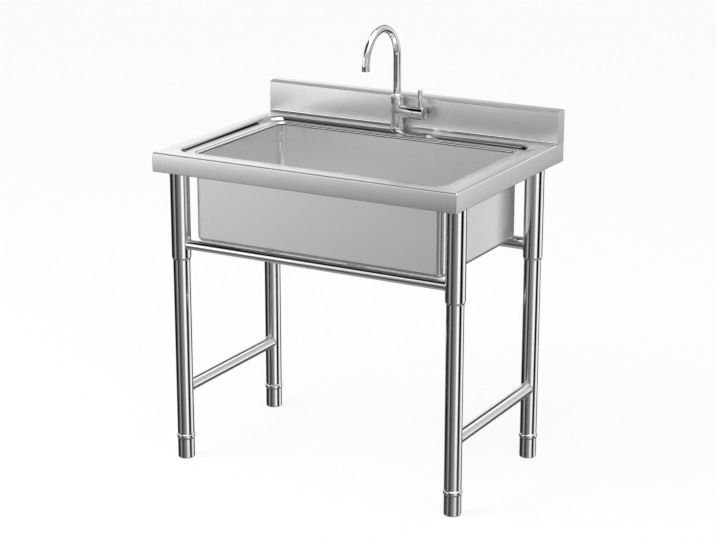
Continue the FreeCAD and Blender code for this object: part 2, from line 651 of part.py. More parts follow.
def tap_flange():
    plate = upright(TAP_X, TAP_Y, FLANGE_RADIUS, TOP_HEIGHT, TOP_HEIGHT + FLANGE_HEIGHT)
    rim = edges_where(plate, lambda b: near(b.ZMin, TOP_HEIGHT + FLANGE_HEIGHT))
    plate = plate.makeChamfer(FLANGE_CHAMFER, rim)
    plate = plate.cut(upright(TAP_X, TAP_Y, SHANK_RADIUS + FIT_GAP, TOP_HEIGHT - PAST,
                              TOP_HEIGHT + FLANGE_HEIGHT + PAST))
    return plate.cut(upright(TAP_X, TAP_Y, SEAL_RADIUS, TOP_HEIGHT - PAST, TOP_HEIGHT + SEAL_THICKNESS))


def tap_base_seal():
    return ring(TAP_X, TAP_Y, SHANK_RADIUS + FIT_GAP, SEAL_RADIUS - FIT_GAP,
                TOP_HEIGHT, TOP_HEIGHT + SEAL_THICKNESS)


def tap_body():
    """Upright body and side barrel of one diameter, which meet in a mitre."""
    bottom = TOP_HEIGHT + FLANGE_HEIGHT
    body = upright(TAP_X, TAP_Y, BODY_RADIUS, bottom, BODY_TOP)
    body = body.makeChamfer(BODY_CHAMFER, edges_where(body, lambda b: near(b.ZMin, BODY_TOP)))
    barrel = Part.makeCylinder(BODY_RADIUS, BARREL_LENGTH, V(TAP_X, TAP_Y, BARREL_Z), X_AXIS)
    pocket = Part.makeCylinder(POCKET_RADIUS, POCKET_DEPTH + PAST,
                               V(BARREL_END - POCKET_DEPTH, TAP_Y, BARREL_Z), X_AXIS)
    socket = upright(TAP_X, TAP_Y, SPOUT_RADIUS + BUSH_WALL + FIT_GAP, SOCKET_FLOOR, BODY_TOP + PAST)
    inlets = [upright(TAP_X + side * INLET_SPACING / 2, TAP_Y, INLET_RADIUS, bottom - PAST,
                      bottom + INLET_DEPTH) for side in (-1, 1)]
    return body.fuse(barrel).cut([pocket, socket] + inlets)


def spout_bush():
    return ring(TAP_X, TAP_Y, SPOUT_RADIUS + THREAD_GAP, SPOUT_RADIUS + BUSH_WALL,
                SOCKET_FLOOR + SPOUT_SEAL, BODY_TOP)


def spout_seal():
    return ring(TAP_X, TAP_Y, SPOUT_RADIUS - 2 * SPOUT_WALL, SPOUT_RADIUS + BUSH_WALL,
                SOCKET_FLOOR, SOCKET_FLOOR + SPOUT_SEAL)


def spout_pipe(radius):
    """Solid of one radius along the riser, the half-round arch and the drop."""
    foot = SOCKET_FLOOR + SPOUT_SEAL + TRAVEL_GAP
    riser = upright(TAP_X, TAP_Y, radius, foot, SPRING_Z)
    disc = Part.Face(Part.Wire(Part.makeCircle(radius, V(TAP_X, TAP_Y, SPRING_Z), Z_AXIS)))
    arch = disc.revolve(V(TAP_X, TAP_Y - SPOUT_BEND, SPRING_Z), X_AXIS, 180)
    drop = upright(TAP_X, TAP_Y - 2 * SPOUT_BEND, radius, SPRING_Z - SPOUT_TIP, SPRING_Z)
    return riser.fuse([arch, drop])


def spout():
    return spout_pipe(SPOUT_RADIUS).cut(spout_pipe(SPOUT_RADIUS - SPOUT_WALL))


def spout_ring():
    """Cone ring on the riser that covers the swivel joint."""
    z0 = BODY_TOP + TRAVEL_GAP
    z1 = z0 + RING_HEIGHT
    inner = SPOUT_RADIUS + FIT_GAP
    return turned([(inner, z0), (RING_RADIUS, z0), (RING_RADIUS, z1 - RING_CHAMFER),
                   (inner + 0.5, z1), (inner, z1)], TAP_X, TAP_Y)


def aerator():
    """Screw-in outlet with a rim just wider than the spout."""
    y = TAP_Y - 2 * SPOUT_BEND
    tip = SPRING_Z - SPOUT_TIP
    plug = SPOUT_RADIUS - SPOUT_WALL - FIT_GAP
    bore = plug - AERATOR_WALL
    return turned([(bore, tip - AERATOR_LIP), (AERATOR_RADIUS, tip - AERATOR_LIP),
                   (AERATOR_RADIUS, tip), (plug, tip), (plug, tip - AERATOR_LIP + AERATOR_DEPTH),
                   (0, tip - AERATOR_LIP + AERATOR_DEPTH),
                   (0, tip - AERATOR_LIP + AERATOR_DEPTH / 2),
                   (bore, tip - AERATOR_LIP + AERATOR_DEPTH / 2)], TAP_X, y)


def valve_cartridge():
    start = BARREL_END - POCKET_DEPTH
    return Part.makeCylinder(POCKET_RADIUS - FIT_GAP, CARTRIDGE_LENGTH,
                             V(start, TAP_Y, BARREL_Z), X_AXIS)


def along_barrel(edges):
    """Revolve a closed run of edges, drawn above the barrel's axis, about that axis."""
    face = Part.Face(Part.Wire(Part.__sortEdges__(edges)))
    return face.revolve(V(0, TAP_Y, BARREL_Z), X_AXIS, 360)


def barrel_point(x, radius):
    return V(x, TAP_Y, BARREL_Z + radius)


def cartridge_nut():
    """Retaining nut with a domed nose, centred on the lever's tilt axis."""
    radius = POCKET_RADIUS - FIT_GAP
    base = BARREL_END - POCKET_DEPTH + CARTRIDGE_LENGTH
    nose = PIVOT_X + NUT_NOSE
    half_way = math.asin(NUT_NOSE / radius) / 2
    corners = [barrel_point(nose, radius * math.cos(2 * half_way)), barrel_point(nose, NUT_BORE),
               barrel_point(base, NUT_BORE), barrel_point(base, radius),
               barrel_point(PIVOT_X, radius)]
    dome = Part.Arc(corners[-1], barrel_point(PIVOT_X + radius * math.sin(half_way),
                                              radius * math.cos(half_way)), corners[0])
    sides = [Part.makeLine(a, b) for a, b in zip(corners, corners[1:])]
    return along_barrel(sides + [dome.toShape()])


def cartridge_spindle():
    """Turning spindle of the cartridge, with the ball that the lever tilts on."""
    base = BARREL_END - POCKET_DEPTH + CARTRIDGE_LENGTH + TRAVEL_GAP
    neck = PIVOT_X - math.sqrt(BALL_RADIUS ** 2 - SPINDLE_RADIUS ** 2)
    corners = [barrel_point(PIVOT_X + BALL_RADIUS, 0), barrel_point(base, 0),
               barrel_point(base, SPINDLE_RADIUS), barrel_point(neck, SPINDLE_RADIUS)]
    ball = Part.Arc(corners[-1], barrel_point(PIVOT_X, BALL_RADIUS), corners[0])
    sides = [Part.makeLine(a, b) for a, b in zip(corners, corners[1:])]
    return along_barrel(sides + [ball.toShape()])


def cap_rim():
    """Distances from the barrel's end to the cap's rim, at its top and its underside.

    The underside is cut back, so that the cap clears the barrel when it tilts.
    """
    tilt = math.radians(LEVER_TILT)
    upper = TRAVEL_GAP
    lower = PIVOT_OUT + (TRAVEL_GAP - PIVOT_OUT + BODY_RADIUS * math.sin(tilt)) / math.cos(tilt)
    return upper, lower


def handle_cap():
    """Turning cap, flush with the barrel, cut on the slant towards it."""
    upper, lower = cap_rim()
    cap = Part.makeCylinder(BODY_RADIUS, CAP_LENGTH, V(BARREL_END, TAP_Y, BARREL_Z), X_AXIS)
    end = BARREL_END + CAP_LENGTH
    cap = cap.makeChamfer(CAP_CHAMFER, edges_where(cap, lambda b: near(b.XMin, end)))
    reach = 2 * BODY_RADIUS
    slope = (lower - upper) / (2 * BODY_RADIUS)
    middle = BARREL_END + (upper + lower) / 2
    high = V(middle - slope * reach, TAP_Y - reach, BARREL_Z + reach)
    low = V(middle + slope * reach, TAP_Y - reach, BARREL_Z - reach)
    back = V(-2 * reach, 0, 0)
    wedge = Part.Face(Part.makePolygon([high, low, low + back, high + back, high]))
    cap = cap.cut(wedge.extrude(V(0, 2 * reach, 0)))
    cavity = Part.makeCylinder(CAP_BORE, CAP_CAVITY + reach, V(BARREL_END - reach, TAP_Y, BARREL_Z), X_AXIS)
    dish = Part.makeCylinder(BODY_RADIUS - CAP_RIM, 2 * CAP_DISH, V(end - CAP_DISH, TAP_Y, BARREL_Z), X_AXIS)
    hole = upright(BARREL_END + LEVER_OUT, TAP_Y, LEVER_RADIUS + FIT_GAP,
                   BARREL_Z + BODY_RADIUS - LEVER_SEAT, BARREL_Z + reach)
    grub = upright(BARREL_END + LEVER_OUT, TAP_Y, GRUB_RADIUS + FIT_GAP,
                   BARREL_Z - reach, BARREL_Z - BODY_RADIUS + GRUB_LENGTH + FIT_GAP)
    cap = cap.cut([cavity, dish, hole, grub])
    boss_start = PIVOT_X + BALL_RADIUS + TRAVEL_GAP
    boss = Part.makeCylinder(SPINDLE_RADIUS, BARREL_END + CAP_CAVITY - boss_start + PAST,
                             V(boss_start, TAP_Y, BARREL_Z), X_AXIS)
    return cap.fuse(boss)


def handle_lever():
    """Straight round lever, standing in the cap."""
    x = BARREL_END + LEVER_OUT
    top = BARREL_Z + BODY_RADIUS + LEVER_LENGTH
    rod = upright(x, TAP_Y, LEVER_RADIUS, BARREL_Z + BODY_RADIUS - LEVER_SEAT, top)
    return rod.makeChamfer(LEVER_CHAMFER, edges_where(rod, lambda b: near(b.ZMin, top)))


def handle_grub_screw():
    bottom = BARREL_Z - BODY_RADIUS + FIT_GAP
    return upright(BARREL_END + LEVER_OUT, TAP_Y, GRUB_RADIUS, bottom + FIT_GAP, bottom + GRUB_LENGTH)


def tap_shank():
    return ring(TAP_X, TAP_Y, SHANK_BORE, SHANK_RADIUS, TOP_HEIGHT - SHANK_DROP,
                TOP_HEIGHT + FLANGE_HEIGHT)


def shank_levels():
    """Undersides of the worktop, the rubber washer and the steel washer."""
    skin = TOP_HEIGHT - SHEET
    return skin, skin - RUBBER_WASHER, skin - RUBBER_WASHER - STEEL_WASHER


def shank_rubber_washer():
    high, low, _ = shank_levels()
    return ring(TAP_X, TAP_Y, SHANK_RADIUS + FIT_GAP, CLAMP_WASHER_RADIUS, low, high)


def shank_steel_washer():
    _, high, low = shank_levels()
    return ring(TAP_X, TAP_Y, SHANK_RADIUS + FIT_GAP, CLAMP_WASHER_RADIUS, low, high)


def shank_nut():
    top = shank_levels()[2]
    bottom = top - SHANK_NUT_HEIGHT
    reach = SHANK_NUT_FLATS / 2 / math.cos(math.pi / 6)
    corners = [V(TAP_X + reach * math.cos(i * math.pi / 3), TAP_Y + reach * math.sin(i * math.pi / 3),
                 bottom) for i in range(6)]
    nut = Part.Face(Part.makePolygon(corners + corners[:1])).extrude(V(0, 0, SHANK_NUT_HEIGHT))
    return nut.cut(upright(TAP_X, TAP_Y, SHANK_RADIUS + FIT_GAP, bottom - PAST, top + PAST))


def all_parts():
    parts = {
        "worktop": worktop(),
        "splashback": splashback(),
        "splashback_end_left": splash_end(-1),
        "splashback_end_right": splash_end(1),
        "side_channel_left": side_channel(-1),
        "side_channel_right": side_channel(1),
        "bowl": bowl(),
        "bowl_end_left": bowl_end(-1),
        "bowl_end_right": bowl_end(1),
        "strainer_body": strainer_body(),
        "drain_gasket": drain_gasket(),
        "drain_friction_ring": drain_friction_ring(),
        "drain_locknut": drain_locknut(),
        "strainer_basket": strainer_basket(),
        "basket_stopper": basket_stopper(),
        "basket_knob": basket_knob(),
        "front_rail": front_rail(),
        "rear_rail": rear_rail(),
        "side_stretcher_left": side_stretcher(-1),
        "side_stretcher_right": side_stretcher(1),
        "tap_flange": tap_flange(),
        "tap_base_seal": tap_base_seal(),
        "tap_body": tap_body(),
        "spout_bush": spout_bush(),
        "spout_seal": spout_seal(),
        "spout": spout(),
        "spout_ring": spout_ring(),
        "aerator": aerator(),
        "valve_cartridge": valve_cartridge(),
        "cartridge_nut": cartridge_nut(),
        "cartridge_spindle": cartridge_spindle(),
        "handle_cap": handle_cap(),
        "handle_lever": handle_lever(),
        "handle_grub_screw": handle_grub_screw(),
        "tap_shank": tap_shank(),
        "shank_rubber_washer": shank_rubber_washer(),
        "shank_steel_washer": shank_steel_washer(),
        "shank_nut": shank_nut(),
    }
    for place, (x, y) in LEGS.items():
        parts["leg_sleeve_" + place] = leg_sleeve(x, y)
        parts["lower_leg_" + place] = lower_leg(x, y)
        parts["foot_collar_" + place] = foot_collar(x, y)
        parts["levelling_foot_" + place] = levelling_foot(x, y)
    return parts


def main():
    os.makedirs("parts", exist_ok=True)
    for name, shape in all_parts().items():
        shape = shape.removeSplitter()
        shape.exportStep("parts/" + name + ".step")
        size = shape.BoundBox
        print("%-28s %d solid, valid %s, %.0f mm3, %.1f to %.1f high"
              % (name, len(shape.Solids), shape.isValid(), shape.Volume, size.ZMin, size.ZMax))


main()
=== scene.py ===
import json
import math

import bmesh
import bpy
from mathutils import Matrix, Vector


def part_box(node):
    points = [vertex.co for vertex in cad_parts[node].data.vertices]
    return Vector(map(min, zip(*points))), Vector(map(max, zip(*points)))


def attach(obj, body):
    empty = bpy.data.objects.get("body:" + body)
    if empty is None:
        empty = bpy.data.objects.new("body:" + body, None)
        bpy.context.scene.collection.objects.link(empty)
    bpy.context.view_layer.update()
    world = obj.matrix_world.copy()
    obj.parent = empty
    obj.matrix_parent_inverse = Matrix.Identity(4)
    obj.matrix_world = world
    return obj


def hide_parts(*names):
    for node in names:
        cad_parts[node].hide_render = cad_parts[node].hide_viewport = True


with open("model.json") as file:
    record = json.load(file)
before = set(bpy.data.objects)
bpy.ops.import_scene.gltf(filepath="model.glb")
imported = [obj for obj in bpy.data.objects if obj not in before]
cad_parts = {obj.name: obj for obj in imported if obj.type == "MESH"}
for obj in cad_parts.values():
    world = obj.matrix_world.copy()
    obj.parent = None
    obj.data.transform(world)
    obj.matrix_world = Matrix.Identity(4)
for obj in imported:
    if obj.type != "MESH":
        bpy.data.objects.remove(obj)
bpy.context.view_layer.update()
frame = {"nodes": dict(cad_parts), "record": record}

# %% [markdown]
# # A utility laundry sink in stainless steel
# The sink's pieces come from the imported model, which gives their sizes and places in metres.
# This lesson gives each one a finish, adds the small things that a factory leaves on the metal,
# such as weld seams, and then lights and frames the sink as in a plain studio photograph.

nodes = frame["nodes"]
body_of = {node: body for body, members in frame["record"]["behaviour"]["bodies"].items()
           for node in members}

# %% [markdown]
# ## Writing shader maths as Python
# A material is a small network of nodes. Building it by hand means many calls that hide the
# idea, so one class wraps an output socket and turns `+`, `-`, `*` and `/` into Math nodes.
# Any other node comes from `Finish.node`, which sets the node's options first and then its
# inputs, from plain values or from other sockets.

# %% Sockets that can be added and multiplied
class Value:
    """An output socket of a material, which Python can calculate with."""

    def __init__(self, network, socket):
        self.network, self.socket = network, socket

    def maths(self, operation, first, second):
        return self.network.maths(operation, first, second)

    def __add__(self, other):
        return self.maths("ADD", self, other)

    def __radd__(self, other):
        return self.maths("ADD", other, self)

    def __sub__(self, other):
        return self.maths("SUBTRACT", self, other)

    def __rsub__(self, other):
        return self.maths("SUBTRACT", other, self)

    def __mul__(self, other):
        return self.maths("MULTIPLY", self, other)

    def __rmul__(self, other):
        return self.maths("MULTIPLY", other, self)

    def __lt__(self, other):
        return self.maths("LESS_THAN", self, other)

    def __truediv__(self, other):
        return self.maths("DIVIDE", self, other)

    def power(self, exponent):
        return self.maths("POWER", self, exponent)

    def absolute(self):
        return self.maths("ABSOLUTE", self, 0.0)


class Network:
    """A tree of shader nodes, with one call that adds a node to it."""

    def __init__(self, tree):
        self.tree = tree

    def node(self, kind, settings, inputs, output=0):
        made = self.tree.nodes.new(kind)
        for option, setting in settings.items():
            if option == "stops":
                while len(made.color_ramp.elements) < len(setting):
                    made.color_ramp.elements.new(0.5)
                for stop, (position, colour) in zip(made.color_ramp.elements, setting):
                    stop.position, stop.color = position, (*colour, 1.0)
            else:
                setattr(made, option, setting)
        for key, value in inputs.items():
            if isinstance(value, Value):
                self.tree.links.new(value.socket, made.inputs[key])
            else:
                made.inputs[key].default_value = value
        return Value(self, made.outputs[output])

    def maths(self, operation, first, second):
        return self.node("ShaderNodeMath", {"operation": operation}, {0: first, 1: second})

    def ramp_up(self, value, start, end):
        """0 where value is under start, 1 where it is over end, and smooth between."""
        return self.node("ShaderNodeMapRange", {"interpolation_type": "SMOOTHSTEP"},
                         {"Value": value, "From Min": start, "From Max": end})

    def link(self, value, node, socket):
        self.tree.links.new(value.socket, node.inputs[socket])


class Finish(Network):
    """A material with one Principled shader, and patterns to feed it."""

    def __init__(self, name, **constants):
        self.material = bpy.data.materials.new(name)
        self.material.use_nodes = True
        super().__init__(self.material.node_tree)
        self.shader = self.tree.nodes["Principled BSDF"]
        for socket, value in constants.items():
            self.shader.inputs[socket.replace("_", " ")].default_value = value

    def place(self):
        """Where a point of the piece is, in metres, in the sink's own frame."""
        return self.node("ShaderNodeTexCoord", {}, {}, "Object")

    def noise(self, scale, stretch=(1.0, 1.0, 1.0), detail=3.0):
        """Cloudy values round 0.5, of that many cycles a metre, stretched along the axes."""
        along = self.node("ShaderNodeVectorMath", {"operation": "MULTIPLY"},
                          {0: self.place(), 1: stretch})
        return self.node("ShaderNodeTexNoise", {"noise_dimensions": "3D"},
                         {"Vector": along, "Scale": scale, "Detail": detail}, "Fac")

    def tint(self, amount, dark, light):
        """A colour between two, mixed by an amount."""
        return self.node("ShaderNodeMix", {"data_type": "RGBA"},
                         {"Factor": amount, 6: (*dark, 1.0), 7: (*light, 1.0)}, 2)

    def feed(self, socket, value):
        self.link(value, self.shader, socket)

    def raise_by(self, height, metres, strength=1.0):
        """Bump the surface by a height pattern, where 1 stands for that many metres."""
        bump = self.node("ShaderNodeBump", {}, {"Height": height, "Distance": metres,
                                                "Strength": strength}, "Normal")
        self.feed("Normal", bump)


print("a finish is ready to be made")

# %% [markdown]
# ## Brushed stainless sheet
# The top, the splashback and the bowl are folded from sheet that comes with a satin grain.
# The grain is thousands of hair-thin scratches that all run one way, so reflections are drawn
# out across it. A noise that is stretched a hundredfold along the grain gives the scratches. They
# change the roughness a little and lift the surface by a few millionths of a metre. A second,
# cloudy noise stands for the faint unevenness of handling. On the sheet's end faces the grain
# runs from front to back, and the surface's own direction says which grain applies.
#
# Pressed bends lose the grain, so they are smoother than the faces between them. Folding also
# leaves a long narrow face a fraction of a millimetre fuller in its middle, and a bump of that
# height gives the apron and the splashback their soft change of tone. Under the rim, where the
# bowl is welded on, a thin near-black line is painted into the colour: a painted shadow along
# the seam. It depends on the place alone.

# %% The satin sheet
bowl_low, bowl_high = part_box("bowl_end_left")[0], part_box("bowl_end_right")[1]
seam_height = bowl_high.z
mouth = (bowl_high - bowl_low) / 2
mouth_middle = (bowl_high.y + bowl_low.y) / 2
top_low, top_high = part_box("worktop")
splash_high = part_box("splashback")[1]
apron_bulge, splash_bulge = 0.00055, 0.0009
crowned = [(top_low.z, top_high.z, apron_bulge), (top_high.z, splash_high.z, splash_bulge)]
scratches_a_metre, scratch_stretch, scratch_height = 900.0, 0.008, 0.000001
# The thin near-black line under the rim is a painted shadow along the weld seam: its half height,
# where it fades, and its colour.
painted_shadow_half_height, painted_shadow_fades_at, sheet_margin = 0.0010, 0.0016, 0.003
painted_seam_shadow_colour = (0.03, 0.03, 0.03, 1.0)
bend_flatness, face_flatness = 0.95, 0.999


def grain(finish, axis):
    """Scratches along axis 0, 1 or 2, as values round 0.5."""
    stretch = [1.0, 1.0, 1.0]
    stretch[axis] = scratch_stretch
    return finish.noise(scratches_a_metre, stretch, 2.0)


def in_painted_seam_shadow(finish):
    """1 in the thin painted shadow line under the rim, where the bowl is welded to the worktop."""
    x, y, z = (finish.node("ShaderNodeSeparateXYZ", {}, {0: finish.place()}, axis)
               for axis in range(3))
    from_seam = (z - seam_height).absolute()
    near_seam = 1.0 - finish.ramp_up(from_seam, painted_shadow_half_height, painted_shadow_fades_at)
    within = ((x.absolute() < mouth.x + sheet_margin)
              * ((y - mouth_middle).absolute() < mouth.y + sheet_margin))
    return near_seam * within


def crown(finish):
    """The apron and the splashback bulge by a fraction of a millimetre between their bends."""
    z = finish.node("ShaderNodeSeparateXYZ", {}, {0: finish.place()}, 2)
    height = 0.0
    for low, high, bulge in crowned:
        middle, half = (low + high) / 2, (high - low) / 2
        across = (z - middle) / half
        height = height + finish.maths("MAXIMUM", 1.0 - across * across, 0.0) * bulge
    return height


def satin_sheet(name, colour, flat_roughness, bend_roughness):
    sheet = Finish(name, Metallic=1.0)
    facing = sheet.node("ShaderNodeNewGeometry", {}, {}, "Normal")
    x, y, z = (sheet.node("ShaderNodeSeparateXYZ", {}, {0: facing}, axis).absolute()
               for axis in range(3))
    flatness = sheet.maths("MAXIMUM", sheet.maths("MAXIMUM", x, y), z)
    flat = sheet.ramp_up(flatness, bend_flatness, face_flatness)
    sideways = x.power(6.0)
    lengthwise = grain(sheet, 0) * (1.0 - sideways) + grain(sheet, 1) * sideways
    clouds = sheet.noise(3.5, detail=4.0)
    # Painted shadow: the colour turns near-black in a thin line along the seam under the rim.
    painted_seam_shadow = in_painted_seam_shadow(sheet)
    dark = [part * 0.96 for part in colour]
    metal = sheet.tint(lengthwise * 0.6 + clouds * 0.4, dark, colour)
    sheet.feed("Base Color", sheet.node("ShaderNodeMix", {"data_type": "RGBA"},
                                        {"Factor": painted_seam_shadow, 6: metal, 7: painted_seam_shadow_colour}, 2))
    smooth = bend_roughness + (flat_roughness - bend_roughness) * flat
    sheet.feed("Roughness", smooth + (lengthwise - 0.5) * 0.08 + (clouds - 0.5) * 0.04)
    sheet.raise_by(lengthwise * scratch_height + crown(sheet), 1.0)
    return sheet.material


satin = satin_sheet("satin_stainless", (0.77, 0.775, 0.78), 0.30, 0.06)
# The side channels' sheet is a rougher mill finish, and its colour is also darkened as painted
# shade for the shade under the apron.
mill_finish_and_shade_sheet = satin_sheet("mill_finish_and_painted_shade_stainless", (0.36, 0.362, 0.366), 0.48, 0.40)
bowl_satin = satin_sheet("bowl_stainless", (0.88, 0.885, 0.89), 0.36, 0.08)
print("sheet finishes:", satin.name, bowl_satin.name)

# %% [markdown]
# ## Polished tube
# Tube for legs and rails is polished while it spins, so its fine lines run round it, and its
# highlights stay as crisp bands along it. The lines are rings of noise along the tube's axis.

# %% Tube finishes, one for each direction a tube can run
rings_a_metre, ring_stretch, ring_height = 1400.0, 0.02, 0.000001


def polished_tube(name, axis, colour=(0.71, 0.715, 0.72), roughness=0.09):
    tube = Finish(name, Metallic=1.0)
    stretch = [ring_stretch] * 3
    stretch[axis] = 1.0
    rings = tube.noise(rings_a_metre, stretch, 2.0)
    clouds = tube.noise(9.0, detail=3.0)
    dark = [part * 0.95 for part in colour]
    tube.feed("Base Color", tube.tint(rings * 0.5 + clouds * 0.5, dark, colour))
    tube.feed("Roughness", roughness + (rings - 0.5) * 0.04 + (clouds - 0.5) * 0.04)
    tube.raise_by(rings, ring_height, 0.3)
    return tube.material


tube_finish = {axis: polished_tube("polished_tube_" + "xyz"[axis], axis) for axis in range(3)}
print("tube finishes:", [finish.name for finish in tube_finish.values()])

# %% [markdown]
# ## Chrome, rubber, plastic and brass
# The tap is plated and mirror bright, with no grain. Only a trace of dried water dulls it.
# Rubber and plastic reflect little and scatter much. Brass keeps the fine rings of the lathe.
# A thread is too fine to see from where the sink is looked at, so the solid has a plain shaft
# and the finish draws the thread as a wave that goes up and down once in each pitch.

# %% The other finishes
def chrome_plate():
    chrome = Finish("mirror_chrome", Metallic=1.0)
    film = chrome.noise(35.0, detail=4.0).power(3.0)
    chrome.feed("Base Color", chrome.tint(film, (0.62, 0.625, 0.635), (0.55, 0.555, 0.56)))
    chrome.feed("Roughness", 0.03 + film * 0.08)
    return chrome.material


def moulded(name, colour, roughness, texture, height):
    part = Finish(name, Metallic=0.0)
    pebble = part.noise(texture, detail=3.0)
    part.feed("Base Color", part.tint(pebble, [c * 0.85 for c in colour], colour))
    part.feed("Roughness", roughness + (pebble - 0.5) * 0.2)
    part.raise_by(pebble, height, 0.6)
    return part.material


def threaded(name, colour, roughness, pitch, centre, reach):
    """Turned metal with a thread on the shaft that stands on centre, out to that reach."""
    metal = Finish(name, Metallic=1.0)
    x, y, z = (metal.node("ShaderNodeSeparateXYZ", {}, {0: metal.place()}, axis)
               for axis in range(3))
    from_shaft = ((x - centre.x).power(2.0) + (y - centre.y).power(2.0)).power(0.5)
    turns = metal.maths("PINGPONG", z + 10.0, pitch / 2) / (pitch / 2)
    on_shaft = from_shaft < reach
    stain = metal.noise(60.0, detail=4.0)
    metal.feed("Base Color", metal.tint(stain, [part * 0.85 for part in colour], colour))
    metal.feed("Roughness", roughness + (stain - 0.5) * 0.12)
    metal.raise_by(turns * on_shaft, pitch * 0.5)
    return metal.material


chrome = chrome_plate()
rubber = moulded("black_rubber", (0.028, 0.028, 0.03), 0.62, 700.0, 0.00003)
plastic = moulded("white_plastic", (0.80, 0.80, 0.78), 0.38, 500.0, 0.00001)
fibre = moulded("red_fibre", (0.36, 0.10, 0.05), 0.75, 900.0, 0.00004)
brass_colour = (0.72, 0.55, 0.28)
brass = polished_tube("machined_brass", 2, brass_colour, 0.22)
shank_low, shank_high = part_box("tap_shank")
shank_pitch, whole_piece = 0.0015, 1.0
shank_brass = threaded("threaded_brass", brass_colour, 0.24, shank_pitch,
                       (shank_low + shank_high) / 2, whole_piece)
zinc = polished_tube("zinc_plate", 2, (0.52, 0.525, 0.54), 0.34)
drain_steel = polished_tube("drain_steel", 2, (0.70, 0.70, 0.705), 0.16)
print("other finishes:", [m.name for m in (chrome, rubber, plastic, fibre, brass, zinc)])

# %% [markdown]
# ## Smooth skins for the pieces
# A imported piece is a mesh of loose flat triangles. Light on it would show every facet, so each
# piece gets a skin: a copy whose loose corners are merged, whose bends are shaded smooth and
# whose folded edges stay sharp. The Weighted Normal modifier leans the shading towards the
# large faces, so flat metal stays flat right up to its bends. The bowl's ends are butt-welded
# to its folded sheet and the welds are ground flush, so these three share one skin. The faces
# inside the weld are taken out first, so that the metal runs on without a break.

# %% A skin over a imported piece, or over pieces that are welded flush
same_corner, in_the_weld = 0.000002, 0.00001


def open_weld(shape, place):
    """Take out the faces that meet inside a weld, at that distance left and right."""
    inside = [face for face in shape.faces
              if all(abs(abs(corner.co.x) - place) < in_the_weld for corner in face.verts)]
    bmesh.ops.delete(shape, geom=inside, context="FACES_ONLY")


def skin(node, material, sharp=50.0, welded=()):
    mesh = nodes[node].data.copy()
    shape = bmesh.new()
    for piece in (node, *welded):
        shape.from_mesh(nodes[piece].data)
    if welded:
        open_weld(shape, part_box(node)[1].x)
    bmesh.ops.remove_doubles(shape, verts=shape.verts, dist=same_corner)
    for face in shape.faces:
        face.smooth = True
    for edge in shape.edges:
        edge.smooth = edge.calc_face_angle(0.0) < math.radians(sharp)
    shape.to_mesh(mesh)
    shape.free()
    mesh.materials.clear()
    mesh.materials.append(material)
    piece = bpy.data.objects.new(node + "_skin", mesh)
    bpy.context.scene.collection.objects.link(piece)
    shading = piece.modifiers.new("flat_stays_flat", "WEIGHTED_NORMAL")
    shading.keep_sharp = True
    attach(piece, body_of[node])
    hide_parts(node, *welded)
    return piece


print("corners closer than this are merged, in metres:", same_corner)

# %% [markdown]
# ## Which finish goes where
# Each piece is listed with its finish. The grain of a tube has to run round it, so a tube's
# finish depends on its direction: legs stand, rails run along the sink, and stretchers run from
# front to back. The screw feet have a polished foot under a threaded stem.

# %% Put the skins on
foot_pitch, stem_reach = 0.002, 0.0085
legs = ("front_left", "front_right", "rear_left", "rear_right")
# The side channels take the darkened mill sheet, whose dark colour is partly painted shade.
finish_of = {"worktop": satin, "splashback": satin, "splashback_end_left": satin,
             "splashback_end_right": satin, "side_channel_left": mill_finish_and_shade_sheet,
             "side_channel_right": mill_finish_and_shade_sheet,
             "front_rail": tube_finish[0], "rear_rail": tube_finish[0],
             "side_stretcher_left": tube_finish[1], "side_stretcher_right": tube_finish[1],
             "strainer_body": drain_steel, "strainer_basket": drain_steel,
             "basket_knob": drain_steel, "drain_locknut": plastic, "drain_gasket": rubber,
             "basket_stopper": rubber, "shank_rubber_washer": rubber,
             "shank_steel_washer": zinc, "shank_nut": brass, "tap_shank": shank_brass}
for leg in legs:
    for kind in ("leg_sleeve_", "lower_leg_", "foot_collar_"):
        finish_of[kind + leg] = tube_finish[2]
    foot_low, foot_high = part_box("levelling_foot_" + leg)
    finish_of["levelling_foot_" + leg] = threaded("screw_foot_" + leg, (0.70, 0.705, 0.71), 0.11,
                                                  foot_pitch, (foot_low + foot_high) / 2,
                                                  stem_reach)
for part in ("tap_flange", "tap_body", "spout", "spout_ring", "aerator", "handle_cap",
             "handle_lever"):
    finish_of[part] = chrome
skins = [skin(node, material) for node, material in finish_of.items()]
skins.append(skin("bowl", bowl_satin, welded=("bowl_end_left", "bowl_end_right")))
print("skins:", len(skins))

# %% [markdown]
# ## Inner pieces
# Pieces inside the tap and the drain can hardly be seen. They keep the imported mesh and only
# get their finish.

# %% Finish the inner pieces
inner_finish = {"drain_friction_ring": fibre, "tap_base_seal": rubber, "spout_seal": rubber,
                "spout_bush": plastic, "valve_cartridge": plastic, "cartridge_nut": chrome,
                "cartridge_spindle": brass, "handle_grub_screw": zinc}
for node, material in inner_finish.items():
    nodes[node].data.materials.clear()
    nodes[node].data.materials.append(material)
print("inner pieces:", len(inner_finish))

# %% [markdown]
# ## Weld beads
# A rail's end is cut to sit round its leg and is welded on all the way round. The bead is a low
# roll of melted metal that follows the line where the two tubes meet. That line climbs round
# the leg, so a flat ring wouldn't touch both. A closed curve is laid along it instead and given
# a round section, and its small steps of melted metal are left to the finish.

# %% Beads where the rails and stretchers meet the legs
bead_radius, bead_points = 0.0013, 48


def weld_metal():
    weld = Finish("weld_metal", Metallic=1.0)
    steps = weld.noise(420.0, detail=1.0)
    heat = weld.noise(45.0, detail=2.0)
    weld.feed("Base Color", weld.tint(heat, (0.50, 0.47, 0.43), (0.66, 0.66, 0.67)))
    weld.feed("Roughness", 0.26 + steps * 0.12)
    weld.raise_by(steps, 0.0004)
    return weld.material


